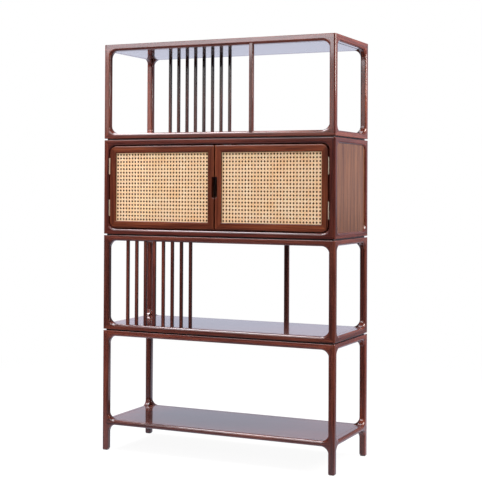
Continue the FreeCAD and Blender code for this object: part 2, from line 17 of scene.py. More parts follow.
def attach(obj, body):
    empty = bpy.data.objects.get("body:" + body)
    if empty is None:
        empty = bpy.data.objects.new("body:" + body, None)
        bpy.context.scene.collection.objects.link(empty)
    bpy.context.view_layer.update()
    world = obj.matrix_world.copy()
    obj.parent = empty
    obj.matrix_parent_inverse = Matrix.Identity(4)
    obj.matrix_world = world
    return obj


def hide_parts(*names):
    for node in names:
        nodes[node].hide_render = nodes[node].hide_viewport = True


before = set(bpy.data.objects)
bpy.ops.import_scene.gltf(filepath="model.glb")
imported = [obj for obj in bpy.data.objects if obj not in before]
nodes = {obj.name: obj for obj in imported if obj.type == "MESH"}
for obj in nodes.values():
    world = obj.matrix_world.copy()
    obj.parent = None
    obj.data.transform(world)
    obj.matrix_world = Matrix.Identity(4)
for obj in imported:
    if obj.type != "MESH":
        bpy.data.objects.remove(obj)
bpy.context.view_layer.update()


def in_scene(name, data):
    """A new object for a mesh, a lamp or the camera, linked to the scene."""
    made = bpy.data.objects.new(name, data)
    bpy.context.scene.collection.objects.link(made)
    return made


# %% [markdown]
# ## Camera
#
# The photograph was taken from the front right with a long lens, at two thirds of the piece's
# height. The place and the three axes of the camera were worked out from the lines of the
# frame. A vertical shift stands for the crop of the picture.

# %% Make the camera
CAMERA_PLACE = (2.21547, -4.71714, 1.17525)
CAMERA_RIGHT = (0.907377, 0.420285, 0.004904)
CAMERA_UP = (0.000697, -0.013163, 0.999914)
CAMERA_BACK = (0.420315, -0.907299, -0.012234)
camera_data = bpy.data.cameras.new("camera")
camera_data.sensor_width = 36.0
camera_data.lens = 87.759
camera_data.shift_y = -0.1427
camera = in_scene("camera", camera_data)
axes = Matrix((CAMERA_RIGHT, CAMERA_UP, CAMERA_BACK)).transposed().to_4x4()
camera.matrix_world = Matrix.Translation(CAMERA_PLACE) @ axes
bpy.context.scene.camera = camera
print("camera at", CAMERA_PLACE)

# %% [markdown]
# ## Putting a shape into a mesh
#
# A piece is a set of closed shells. Each shell is a grid of rings: ring after ring of points
# along the piece, with the same number of points round each. Numpy works out all the points
# at once. The signed volume of a shell says whether its faces look outwards, and a shell that
# is inside out gets its corners in the other order.

# %% Helpers that turn rings into a mesh
MILLIMETRE = 0.001


def closed_tube(rings, caps):
    """A closed shell from rings of points, shape (rings, points round, 3).

    Point j of ring i joins points j + 1 and ring i + 1 into four-sided faces. Each end ring
    is closed by a fan of triangles to its cap point.
    """
    count, round_count = rings.shape[:2]
    index = np.arange(count * round_count).reshape(count, round_count)
    after = np.roll(index, -1, axis=1)
    quads = np.stack([index[:-1], after[:-1], after[1:], index[1:]], -1).reshape(-1, 4)
    first = np.full(round_count, count * round_count)
    start = np.stack([first, after[0], index[0]], -1)
    end = np.stack([first + 1, index[-1], after[-1]], -1)
    points = np.concatenate([rings.reshape(-1, 3), np.asarray(caps, float)])
    return facing_out(points, quads, np.concatenate([start, end]))


def facing_out(points, quads, triangles):
    """The same shell with its faces outwards: the volume under them all is positive.

    The volume is the sum over triangles of a . (b x c) / 6, for its corners a, b and c.
    """
    flat = np.concatenate([quads[:, [0, 1, 2]], quads[:, [0, 2, 3]], triangles])
    a, b, c = (points[flat[:, k]] for k in range(3))
    volume = np.einsum("ij,ij->i", a, np.cross(b, c)).sum() / 6
    if volume < 0:
        quads, triangles = quads[:, ::-1], triangles[:, ::-1]
    return points, quads, triangles


def make_piece(name, shells, material, body, replaces=(), sharp=38.0, notes=None):
    """One object from several shells. notes holds arrays of one number per point, by name.

    A piece that takes the place of a node in STAINS, below, gets that stain as a note.
    """
    offsets = np.cumsum([0] + [len(points) for points, _, _ in shells])
    points = np.concatenate([s[0] for s in shells]) * MILLIMETRE
    quads = np.concatenate([s[1] + at for s, at in zip(shells, offsets)]).astype(np.int32)
    triangles = np.concatenate([s[2] + at for s, at in zip(shells, offsets)]).astype(np.int32)
    corners = np.concatenate([quads.ravel(), triangles.ravel()])
    sizes = np.concatenate([np.full(len(quads), 4), np.full(len(triangles), 3)])
    mesh = bpy.data.meshes.new(name)
    mesh.vertices.add(len(points))
    mesh.vertices.foreach_set("co", points.ravel())
    mesh.loops.add(len(corners))
    mesh.loops.foreach_set("vertex_index", corners)
    mesh.polygons.add(len(sizes))
    starts = np.concatenate([[0], np.cumsum(sizes)[:-1]])
    mesh.polygons.foreach_set("loop_start", starts.astype(np.int32))
    mesh.update(calc_edges=True)
    mesh.validate()
    mesh.polygons.foreach_set("use_smooth", np.ones(len(mesh.polygons), bool))
    mesh.set_sharp_from_angle(angle=math.radians(sharp))
    notes = dict(notes or {})
    for node in replaces:
        if node in STAINS:
            notes["stain_and_painted_shade"] = np.full(len(points), STAINS[node])
    for key, values in notes.items():
        layer = mesh.attributes.new(key, "FLOAT", "POINT")
        layer.data.foreach_set("value", values.astype(np.float32))
    mesh.materials.append(material)
    piece = in_scene(name, mesh)
    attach(piece, body)
    if replaces:
        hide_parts(*replaces)
    print(f"{name}: {len(shells)} shell(s), {len(quads) * 2 + len(triangles)} triangles")
    return piece


# %% [markdown]
# ## Lacquered wood
#
# The real wood is a dark red-brown, stained and then lacquered until it mirrors the light. Its
# grain runs along each member, with fine dark pores in long streaks. A picture of wood could be
# wrapped round each piece, but noise that is squeezed along the grain needs no wrapping and
# runs through the wood as it does in a real plank, so the grain turns at each mitre. No two
# members of the real piece have quite the same tone, so each has a stain of its own here.

# %% Helpers for shader nodes, and the wood
def feed(tree, node, given):
    """Gives a node's inputs, by name or number, a socket to be linked to or a value to hold."""
    for key, value in given.items():
        if isinstance(value, bpy.types.NodeSocket):
            tree.links.new(value, node.inputs[key])
        else:
            node.inputs[key].default_value = value


def shader_node(tree, kind, given, **settings):
    """A new node with its inputs fed and its settings made."""
    node = tree.nodes.new("ShaderNode" + kind)
    for key, value in settings.items():
        setattr(node, key, value)
    feed(tree, node, given)
    return node


def new_material(name):
    """An empty material with a Principled shader, and its node tree."""
    material = bpy.data.materials.new(name)
    material.use_nodes = True
    tree = material.node_tree
    return material, tree, tree.nodes["Principled BSDF"]


def object_place(tree):
    """The Object coordinates."""
    return tree.nodes.new("ShaderNodeTexCoord").outputs["Object"]


def note(tree, name):
    """The number that a piece holds for each point under this name."""
    return shader_node(tree, "Attribute", {}, attribute_name=name).outputs["Fac"]


def ramp(tree, factor, stops):
    """A colour ramp of (place, colour) stops, driven by a socket."""
    node = shader_node(tree, "ValToRGB", {"Fac": factor})
    while len(node.color_ramp.elements) < len(stops):
        node.color_ramp.elements.new(0.5)
    for element, (place, colour) in zip(node.color_ramp.elements, stops):
        element.position = place
        element.color = (*colour, 1.0)
    return node.outputs["Color"]


def ranged(tree, value, low, high, at_low=0.0, at_high=1.0, kind="SMOOTHSTEP"):
    """A change from at_low to at_high while a socket goes from low to high."""
    given = {"Value": value, "From Min": low, "From Max": high, "To Min": at_low, "To Max": at_high}
    return shader_node(tree, "MapRange", given, interpolation_type=kind).outputs["Result"]


def stretched(tree, along, across, length):
    """Object coordinates with one axis squeezed, so that noise makes streaks along it."""
    scale = [across] * 3
    scale["xyz".index(along)] = length
    given = {"Vector": object_place(tree), "Scale": scale}
    return shader_node(tree, "Mapping", given).outputs["Vector"]


def noise(tree, vector, scale, detail, distortion=0.0):
    """Noise in space, as a number round a half."""
    given = {"Vector": vector, "Scale": scale, "Detail": detail, "Distortion": distortion}
    return shader_node(tree, "TexNoise", given).outputs["Fac"]


def multiply(tree, share, first, second):
    """A colour multiplied by a second one, to the given share."""
    given = {0: share, 6: first, 7: second}
    return shader_node(tree, "Mix", given, data_type="RGBA", blend_type="MULTIPLY").outputs[2]


def relief(tree, height, strength, distance):
    """The Normal of a surface with fine relief, its height a socket and its distance in metres."""
    given = {"Height": height, "Strength": strength, "Distance": distance}
    return shader_node(tree, "Bump", given).outputs["Normal"]


WHITE = (1.0, 1.0, 1.0)
BAND_PLACES = (0.30, 0.50, 0.72)
STREAK_TONES = [(0.36, (0.52, 0.48, 0.46)), (0.52, WHITE), (0.70, (1.16, 1.12, 1.06))]
PORE_TONES = [(0.30, (0.45, 0.40, 0.38)), (0.40, WHITE)]


def wood(name, along, colours, gloss=0.08, streak=1.0, figure=1.0, haze=0.1):
    """Stained wood under lacquer, with its grain along the x, y or z axis.

    colours are its dark, middle and light tone. Broad bands of tone come from noise at about
    20 mm across the grain, streaks from noise at about 2 mm, and pores from finer noise that
    also dents the surface. figure makes bands and streaks finer, and streak is the streaks'
    share. gloss is the lacquer's roughness, and haze is the sheen of the wood under it.
    A piece's stain note makes its colour lighter by that share, or darker where it is negative.
    On the top tier's slats that note also holds painted shade.
    """
    material, tree, shader = new_material(name)
    bands = noise(tree, stretched(tree, along, 45 * figure, 1.6), 1.0, 3.0, 0.9)
    streaks = noise(tree, stretched(tree, along, 420 * figure, 7.0), 1.0, 4.0, 0.3)
    pores = noise(tree, stretched(tree, along, 1500, 26.0), 1.0, 2.0)
    tone = ramp(tree, bands, list(zip(BAND_PLACES, colours)))
    tone = multiply(tree, streak, tone, ramp(tree, streaks, STREAK_TONES))
    tone = multiply(tree, 0.8, tone, ramp(tree, pores, PORE_TONES))
    given = {0: tone, 1: note(tree, "stain_and_painted_shade"), 2: tone}
    stained = shader_node(tree, "VectorMath", given, operation="MULTIPLY_ADD")
    feed(tree, shader, {
        "Base Color": stained.outputs["Vector"],
        "Roughness": ranged(tree, streaks, 0.3, 0.7, 0.36, 0.52, "LINEAR"),
        "Normal": relief(tree, pores, 0.12, 0.0002),
        "Specular IOR Level": haze,
        "Coat Weight": 1.0,
        "Coat Roughness": gloss,
        "Coat IOR": 1.5,
    })
    return material


STAINS = {
    "base_leg_front_left": 0.22, "base_leg_front_right": -0.05, "base_leg_rear_left": -0.3,
    "base_leg_rear_right": 0.5, "lower_post_front_left": -0.22, "lower_post_front_right": -0.25,
    "lower_post_rear_left": 0.4, "cabinet_post_front_left": 0.25, "cabinet_post_front_right": -0.12,
    "left_door_hinge_stile": 0.06, "left_door_meeting_stile": -0.2, "left_door_rails": -0.05,
    "right_door_hinge_stile": -0.2, "right_door_meeting_stile": 0.1, "right_door_rails": 0.06,
    "base_top_rails": 0.35, "lower_bottom_rails": -0.08, "cabinet_bottom_rails": 0.15,
    "lower_divider": -0.15, "top_divider": -0.15, "top_post_rear_left": 0.4, "roof_rails": 0.1,
    "cabinet_top_rails": 0.15,
}
FRAME_COLOURS = (0.060, 0.0130, 0.0100), (0.110, 0.0255, 0.0170), (0.180, 0.0460, 0.0260)
CABINET_COLOURS = (0.045, 0.0095, 0.0075), (0.080, 0.0170, 0.0120), (0.130, 0.0320, 0.0190)
DOOR_COLOURS = (0.062, 0.0130, 0.0065), (0.124, 0.0270, 0.0115), (0.210, 0.0550, 0.0230)
SHELF_COLOURS = (0.060, 0.014, 0.010), (0.095, 0.024, 0.016), (0.130, 0.036, 0.022)
BOARD_COLOURS = (0.086, 0.029, 0.0125), (0.132, 0.052, 0.0225), (0.190, 0.081, 0.037)
# Near black, for painted shade: the spacers stand in the gaps between tiers, where it is dark.
SPACER_PAINTED_SHADE_COLOURS = (0.020, 0.006, 0.005), (0.032, 0.010, 0.007), (0.050, 0.016, 0.010)
frame_wood = {axis: wood("frame_wood_along_" + axis, axis, FRAME_COLOURS) for axis in "xyz"}
cabinet_wood = {
    axis: wood("cabinet_wood_along_" + axis, axis, CABINET_COLOURS, haze=0.05) for axis in "xyz"
}
door_wood = {axis: wood("door_wood_along_" + axis, axis, DOOR_COLOURS, haze=0.05) for axis in "xz"}
shelf_wood = wood("shelf_wood", "x", SHELF_COLOURS, gloss=0.06, streak=0.7)
board_wood = wood("board_wood", "z", BOARD_COLOURS, gloss=0.2, figure=0.7, haze=0.05)
print("woods:", [m.name for m in bpy.data.materials if "wood" in m.name])

# %% [markdown]
# ## The shape of a tier's frame
#
# Each tier is cut as if from one block: a rounded box, hollow inside, with an opening in each
# side whose corners are rounded too. All the arrises are eased. A bevel on a built-up mesh
# would have to find its way round these corners, where three members meet. It is simpler to
# say for any point how deep it lies in the wood, as a formula, and let each piece's surface be
# where that depth is nothing. Where a shelf lies level with its rail, the rail's inner edge
# is kept nearly square, and a little further off it goes over to the full ease.

# %% The depth of a point in a tier
HALF_WIDTH, HALF_DEPTH = 550.0, 207.5
RAIL, ROOF_RAIL, SHELF_RAIL = 24.0, 29.0, 23.0
CORNER = 34.0
OUTER_EASE = 1.8
POST_EASE = 7.5
RIM_EASE = 9.5
RIM_POWER = 1.65
INNER_EASE = 6.0
FLUSH_EASE = 0.7
FLUSH_REACH, FLUSH_FADE = 3.0, 22.0
SHELF_MIDDLE = 124.5
FOOT = 2.0
TIERS = {
    "base": dict(post=28.0, low=FOOT, high=532.0, openings=[(-80.0, 113.0), (136.0, 508.0)], flush=[136.0]),
    "lower": dict(post=28.0, low=538.0, high=956.0, openings=[(562.0, 932.0)], flush=[562.0]),
    "cabinet": dict(post=27.0, low=962.0, high=1380.0, openings=[(986.0, 1356.0)], flush=[986.0, 1356.0]),
    "top": dict(post=28.0, low=1386.0, high=1806.0, openings=[(1410.0, 1777.0)], flush=[1410.0]),
}


def round_and(distances, radius, power=2.0):
    """How far a point is outside several shapes at once, with the edges between them rounded.

    Each distance is negative inside its shape. Near an edge, the distances grown by the radius
    are raised to the power and added, and the root of the sum less the radius is the result.
    A power of 2 gives a quarter circle, and a lower one a flatter slope.
    """
    grown = [np.maximum(d + radius, 0.0) for d in distances]
    reach = sum(g ** power for g in grown) ** (1 / power)
    deepest = np.maximum.reduce(np.broadcast_arrays(*distances))
    return np.where(reach > 0, reach - radius, deepest)


def opening(across, up, half, low, high, radius):
    """Distance to a rectangle with rounded corners, negative inside it."""
    a = np.abs(across) - (half - radius)
    b = np.abs(up - (low + high) / 2) - ((high - low) / 2 - radius)
    outside = np.hypot(np.maximum(a, 0.0), np.maximum(b, 0.0))
    return outside + np.minimum(np.maximum(a, b), 0.0) - radius


def tier_depth(tier):
    """The function of x, y and z that is negative in this tier's wood."""
    post = tier["post"]

    def depth(x, y, z):
        across, back = np.abs(x), np.abs(y)
        sides = round_and([across - HALF_WIDTH, back - HALF_DEPTH], POST_EASE)
        outer = round_and([sides, z - tier["high"], tier["low"] - z], OUTER_EASE)
        from_shelf = np.min([np.abs(z - level) for level in tier["flush"]], axis=0)
        fade = np.clip((from_shelf - FLUSH_REACH) / FLUSH_FADE, 0, 1)
        inner_ease = FLUSH_EASE + (INNER_EASE - FLUSH_EASE) * fade * fade * (3 - 2 * fade)
        walls = []
        for along, half, inside in (
            (across, HALF_WIDTH, HALF_DEPTH - post - back),
            (back, HALF_DEPTH, HALF_WIDTH - post - across),
        ):
            holes = [-opening(along, z, half - post, low, high, CORNER) for low, high in tier["openings"]]
            rimmed = round_and([outer] + holes, RIM_EASE, RIM_POWER)
            walls.append(round_and([rimmed, inside], inner_ease))
        return np.minimum(*walls)
    return depth


print("a point in the middle of a post lies", -tier_depth(TIERS["lower"])(536.5, 194.0, 750.0), "mm deep")

# %% [markdown]
# ## Casting a member
#
# A post or rail is found by rays: from a line inside it, rays go out all round at each of many
# stations, and each one stops where the wood ends. At the ends, where three members meet in a
# mitre, a station isn't flat but follows the mitre's own surface, and it flattens little by
# little towards the middle. So neighbouring members share their mitre lines exactly.

# %% Rays and stations
NEAR_END = np.array([0, 0.012, 0.025, 0.04, 0.06, 0.085, 0.12, 0.16, 0.21, 0.26, 0.32, 0.38,
                     0.44, 0.50, 0.56, 0.63, 0.70, 0.78, 0.88, 1.0])
MITRE_GAP = 0.08


def ring_angles(anchors, stretch, count):
    """About count angles round a ring, with the anchor directions among them.

    An anchor is a direction (b, c), turned into an angle after b and c are divided by stretch.
    The rest fill the gaps between anchors evenly.
    """
    if not anchors:
        return np.arange(count) * 2 * np.pi / count
    fixed = np.sort([math.atan2(c / stretch[1], b / stretch[0]) % (2 * np.pi) for b, c in anchors])
    turns = []
    for start, end in zip(fixed, [*fixed[1:], fixed[0] + 2 * np.pi]):
        steps = max(2, round(count * (end - start) / (2 * np.pi)))
        turns.append(start + (end - start) * np.arange(steps) / steps)
    return np.concatenate(turns)


def cast(depth, place, centre, start, finish, flats, anchors=(), stretch=(1.0, 1.0), count=72, far=70.0):
    """One shell, by rays from a line inside a member.

    place(a, b, c) gives x, y and z from the distance a along the member and b and c across it.
    start and finish give a on the end surfaces. flats are the first and last flat stations,
    and any between them. Each ray is halved again and again between a point in the wood and
    a point outside it.
    """
    angles = ring_angles(anchors, stretch, count)
    cos, sin = np.cos(angles) * stretch[0], np.sin(angles) * stretch[1]
    flats = np.asarray(flats, float)
    blend = len(NEAR_END) - 1
    level = np.concatenate([np.full(blend, flats[0]), flats, np.full(blend, flats[-1])])[:, None]
    to_start = np.concatenate([1 - NEAR_END[:-1], np.zeros(len(flats) + blend)])[:, None]
    to_finish = np.concatenate([np.zeros(blend + len(flats)), 1 - NEAR_END[:-1][::-1]])[:, None]

    def at(reach):
        b = centre[0] + reach * cos
        c = centre[1] + reach * sin
        a = level * (1 - to_start - to_finish) + to_start * start(b, c) + to_finish * finish(b, c)
        return place(a, b, c)

    inside = np.zeros((len(level), len(angles)))
    outside = np.full_like(inside, far / max(stretch))
    for _ in range(24):
        half = (inside + outside) / 2
        in_wood = depth(*at(half)) < 0
        inside = np.where(in_wood, half, inside)
        outside = np.where(in_wood, outside, half)
    rings = np.stack(np.broadcast_arrays(*at(outside)), -1)
    middle = np.stack(np.broadcast_arrays(*at(np.zeros_like(inside))), -1)
    return closed_tube(rings, [middle[0, 0], middle[-1, 0]])


# %% [markdown]
# ## Posts and legs
#
# In corner coordinates u runs inwards from the outer side face and v from the outer front or
# back face. A post's end lies on the mitre surface: its height above the tier's end is the
# larger of u and v, times the rail's height over the post's width. A leg is cut in two arms
# at the shelf, where four rails come to a point inside it.

# %% Cast the posts
MITRE_REACH, FOOT_REACH, SHELF_REACH = 70.0, 8.0, 60.0
CORNERS = {"front_left": (-1, -1), "front_right": (1, -1), "rear_left": (-1, 1), "rear_right": (1, 1)}
SHELF_CORE = TIERS["base"]["post"] - SHELF_RAIL / 2
DIAGONAL = [(1, 1), (-1, -1)]


def upright(tier, sides, core, start, finish, flats, creases):
    """A post or a leg's arm. a is its height, and b and c are the corner coordinates u and v."""
    def place(a, b, c):
        return sides[0] * (HALF_WIDTH - b), sides[1] * (HALF_DEPTH - c), a
    return cast(tier_depth(tier), place, (core, core), start, finish, flats, creases)


def mitre_end(level, height, post, inwards):
    """The end surface of an upright at a tier's top or bottom."""
    return lambda u, v: level + inwards * height / post * np.maximum(u, v)


def shelf_end(inwards):
    """The end surface of a leg's arm at the shelf: flat in the core, then rising at 45 degrees."""
    return lambda u, v: SHELF_MIDDLE + inwards * np.maximum(0, np.maximum(u, v) - SHELF_CORE)


for tier_name, head_rail in (("lower", RAIL), ("cabinet", RAIL), ("top", ROOF_RAIL)):
    tier = TIERS[tier_name]
    low, high, post = tier["low"], tier["high"], tier["post"]
    for corner, sides in CORNERS.items():
        shell = upright(
            tier, sides, post / 2,
            mitre_end(low, RAIL, post, 1), mitre_end(high, head_rail, post, -1),
            [low + MITRE_REACH, high - MITRE_REACH], DIAGONAL,
        )
        name = f"{tier_name}_post_{corner}"
        woods = cabinet_wood if tier_name == "cabinet" else frame_wood
        make_piece(name + "_wood", [shell], woods["z"], "root", [name])

tier = TIERS["base"]
CORE_CREASES = [(1, 1), (-1, 0), (0, -1), (-1, -1)]
for corner, sides in CORNERS.items():
    lower_arm = upright(
        tier, sides, SHELF_CORE, lambda u, v: FOOT + 0 * u, shelf_end(-1),
        [FOOT + FOOT_REACH, SHELF_MIDDLE - SHELF_REACH], CORE_CREASES,
    )
    upper_arm = upright(
        tier, sides, SHELF_CORE, shelf_end(1), mitre_end(tier["high"], RAIL, tier["post"], -1),
        [SHELF_MIDDLE + SHELF_REACH, tier["high"] - MITRE_REACH], CORE_CREASES,
    )
    name = "base_leg_" + corner
    make_piece(name + "_wood", [lower_arm, upper_arm], frame_wood["z"], "root", [name])

# %% [markdown]
# ## Rails
#
# A rail along X runs between the mitres at u = max(v, w), where w counts from the tier's end
# face in the rail's own height, and a rail along Y between v = max(u, w). The two directions
# are separate pieces, because the grain runs along each.

# %% Cast the rails
def rail_shells(tier, level, inwards, centre_w, ends, creases):
    """The four rails at one level, as shells along X and shells along Y.

    ends(v, w) gives how far in from the outer corner a rail's end surface lies.
    """
    depth = tier_depth(tier)
    along_x, along_y = [], []
    ways = [(along_x, HALF_WIDTH, HALF_DEPTH, False), (along_y, HALF_DEPTH, HALF_WIDTH, True)]
    for side in (-1, 1):
        for found, half, other, swap in ways:
            def place(a, b, c, other=other, swap=swap, side=side):
                across = side * (other - b)
                z = level + inwards * c
                return (across, a, z) if swap else (a, across, z)
            found.append(cast(
                depth, place, centre_w,
                lambda v, w, half=half: -half + ends(v, w) + MITRE_GAP,
                lambda v, w, half=half: half - ends(v, w) - MITRE_GAP,
                [-half + MITRE_REACH, half - MITRE_REACH], creases,
            ))
    return along_x, along_y


def make_rails(node, tier_name, at_top, height):
    """The four rails at a tier's top or bottom, as two pieces."""
    tier = TIERS[tier_name]
    post = tier["post"]
    level, inwards = (tier["high"], -1) if at_top else (tier["low"], 1)
    long_rails, side_rails = rail_shells(
        tier, level, inwards, (post / 2, height / 2),
        lambda v, w: np.maximum(v, w * post / height), [(post, height), (-post, -height)],
    )
    woods = cabinet_wood if tier_name == "cabinet" else frame_wood
    make_piece(node + "_long", long_rails, woods["x"], "root", [node])
    make_piece(node + "_side", side_rails, woods["y"], "root", [node])


make_rails("base_top_rails", "base", True, RAIL)
for tier_name in ("lower", "cabinet"):
    make_rails(tier_name + "_bottom_rails", tier_name, False, RAIL)
    make_rails(tier_name + "_top_rails", tier_name, True, RAIL)
make_rails("top_bottom_rails", "top", False, RAIL)
make_rails("roof_rails", "top", True, ROOF_RAIL)

long_rails, side_rails = rail_shells(
    TIERS["base"], SHELF_MIDDLE, 1, (SHELF_CORE, 0.0),
    lambda v, w: np.maximum(SHELF_CORE + np.abs(w), v), [(-1, 0), (1, 1), (1, -1)],
)
for way, shells, axis in (("long", long_rails, "x"), ("side", side_rails, "y")):
    make_piece(
        "base_shelf_rails_" + way, shells, frame_wood[axis], "root",
        ["base_shelf_rails"],
    )

# %% [markdown]
# ## Shelves
#
# The panels lie level with their rails, and a fine groove marks the joint all round. A panel
# is one outline, carried from its lower arris to its upper one and drawn in a little at both.

# %% Make the shelves and the roof panel
BOARD_GAP = 0.35
BOARD_EASE = 0.9


def board(half_x, half_y, low, high, ease):
    """A panel with eased arrises: its outline is drawn in by a quarter circle at each face."""
    turn = np.linspace(0, np.pi / 2, 5)
    rise, run = ease * (1 - np.cos(turn)), ease * (1 - np.sin(turn))
    inset = np.concatenate([[2 * ease, 1.2 * ease], run, run[::-1], [1.2 * ease, 2 * ease]])
    level = np.concatenate([[low, low], low + rise, high - rise[::-1], [high, high]])
    steps = np.linspace(-1, 1, 25)
    x = np.concatenate([steps, np.ones(25), -steps, -np.ones(25)])
    y = np.concatenate([-np.ones(25), steps, np.ones(25), -steps])
    half_x, half_y = half_x - inset[:, None], half_y - inset[:, None]
    rings = np.stack(np.broadcast_arrays(x * half_x, y * half_y, level[:, None]), -1)
    return closed_tube(rings, [(0, 0, low), (0, 0, high)])


BOARD_LEVELS = {
    "base_shelf_panel": ("base", 121.5, 136.0),
    "lower_shelf_panel": ("lower", 547.5, 562.0),
    "cabinet_floor_panel": ("cabinet", 971.5, 986.0),
    "cabinet_top_panel": ("cabinet", 1356.0, 1374.0),
    "top_floor_panel": ("top", 1395.5, 1410.0),
    "roof_panel": ("top", 1777.0, 1803.0),
}
for node, (tier_name, low, high) in BOARD_LEVELS.items():
    inset = TIERS[tier_name]["post"] + BOARD_GAP
    shell = board(HALF_WIDTH - inset, HALF_DEPTH - inset, low, high, BOARD_EASE)
    make_piece(node + "_board", [shell], shelf_wood, "root", [node])

# %% [markdown]
# ## Slats and dividers
#
# These are plain square bars with eased edges, tenoned into the rails. A profile with rounded
# corners is carried up from one rail into the other. Each slat has its own stain, and those
# of the top tier also get painted shade in their upper half, as if the roof shaded them.

# %% Make the slats and dividers
SLAT, SLAT_EASE = 13.0, 1.8
FIRST_SLAT, SLAT_PITCH = 120.0, 44.5
SLAT_PLACES = -HALF_WIDTH + FIRST_SLAT + SLAT_PITCH * np.arange(8)
SLAT_STAINS = {
    "lower": [-0.1, 0.0, 0.15, 0.3, 0.0, -0.3, -0.35, -0.3],
    "top": [0.1, 0.1, 0.05, 0.1, -0.05, -0.2, -0.1, -0.1],
}
# Painted shade on the top tier's slats: a share taken off their stain towards the top.
SLAT_PAINTED_SHADE = {"lower": 0.0, "top": 0.6}
PAINTED_SHADE_START, PAINTED_SHADE_LENGTH = 0.5, 0.2
DIVIDER_SIZES, DIVIDER_EASE = {"lower": 20.0, "top": 18.0}, 3.2
DIVIDER_X = -HALF_WIDTH + 719.0
INTO_RAIL = 2.0
DIVIDER_HOUSING = 4.0


def rounded_outline(half_a, half_b, radius, steps):
    """A rectangle's outline with a quarter circle of so many steps at each corner."""
    quarter = np.linspace(0, np.pi / 2, steps + 1)
    angles = np.concatenate([quarter + k * np.pi / 2 for k in range(4)])
    corner = np.repeat(np.array([(1, 1), (-1, 1), (-1, -1), (1, -1)]), steps + 1, axis=0)
    turned = radius * np.stack([np.cos(angles), np.sin(angles)], -1)
    return corner * (half_a - radius, half_b - radius) + turned


def bar(x, y, low, high, size, radius):
    """A rounded square carried from one height to another."""
    outline = rounded_outline(size / 2, size / 2, radius, 5) + (x, y)
    levels = np.linspace(low, high, 7)
    rings = np.stack([np.column_stack([outline, np.full(len(outline), z)]) for z in levels])
    return closed_tube(rings, [(x, y, low), (x, y, high)])


for tier_name, slat_side in (("lower", -1), ("top", 1)):
    low, high = TIERS[tier_name]["openings"][0]
    slat_y = slat_side * (HALF_DEPTH - TIERS[tier_name]["post"] / 2)
    shells = [bar(x, slat_y, low - INTO_RAIL, high + INTO_RAIL, SLAT, SLAT_EASE) for x in SLAT_PLACES]
    stain_and_painted_shade = np.repeat(SLAT_STAINS[tier_name], [len(points) for points, _, _ in shells])
    rise = (np.concatenate([points[:, 2] for points, _, _ in shells]) - low) / (high - low)
    # Painted shade: the top slats are darkened from half way up, as if shaded by the roof.
    stain_and_painted_shade = stain_and_painted_shade - SLAT_PAINTED_SHADE[tier_name] * np.clip((rise - PAINTED_SHADE_START) / PAINTED_SHADE_LENGTH, 0.0, 1.0)
    make_piece(
        tier_name + "_slat_bars", shells, frame_wood["z"], "root",
        [tier_name + "_slats"], notes={"stain_and_painted_shade": stain_and_painted_shade},
    )
    size = DIVIDER_SIZES[tier_name]
    divider_y = -slat_side * (HALF_DEPTH - size / 2)
    shell = bar(DIVIDER_X, divider_y, low - DIVIDER_HOUSING, high + DIVIDER_HOUSING, size, DIVIDER_EASE)
    make_piece(
        tier_name + "_divider_bar", [shell], frame_wood["z"], "root",
        [tier_name + "_divider"],
    )

# %% [markdown]
# ## Doors
#
# A door's frame is four members, mitred at 45 degrees. Its two outer corners are rounded to
# follow the opening, and half of a finger slot is cut into the meeting stile. Behind the lip
# that frames the cane, the wood steps back for the rebate. A ray from one centre can't see
# round that step, so each member is two shells: the lip in front and the part behind it.
#
# The window is the CAD's own. The doors' other edges are drawn in a little from the CAD's, by
# 1.3 mm where the doors meet and by 0.7 mm elsewhere, for the gaps that the photograph shows.

# %% Cast the doors
DOOR_INNER, DOOR_OUTER = 2.8, 518.8
DOOR_LOW, DOOR_HIGH = 990.2, 1351.8
DOOR_FRONT, DOOR_BACK = -205.5, -187.5
DOOR_CORNER = 29.8
STILE = 30.3
WINDOW_INNER = 32.5
LIP = 6.0
REBATE = 6.0
DOOR_EASE, MEETING_EASE, WINDOW_EASE, SLOT_EASE = 2.2, 1.2, 1.6, 1.0
DOOR_MIDDLE = (DOOR_LOW + DOOR_HIGH) / 2
SLOT_LOW, SLOT_HIGH = DOOR_MIDDLE - 45.0, DOOR_MIDDLE + 45.0
SLOT_HALF_WIDTH, SLOT_CORNER = 13.0, 3.5
PIN_X, PIN_Y, BARREL_HOLLOW = 521.25, -204.5, 3.15
HINGE_LOWS, HINGE_HEIGHT, HINGE_ROOM = np.array([1042.5, 1227.5]), 72.0, 0.4
HINGE_MIDDLES = HINGE_LOWS + HINGE_HEIGHT / 2
WINDOW = (WINDOW_INNER, DOOR_OUTER - STILE, DOOR_LOW + STILE, DOOR_HIGH - STILE)
CANE_FRONT = DOOR_FRONT + LIP


def rectangle(x, z, grow):
    """Distance to the door's window, made larger by grow on each side; negative inside it."""
    left, right, low, high = WINDOW
    return np.maximum.reduce([left - grow - x, x - right - grow, low - grow - z, z - high - grow])


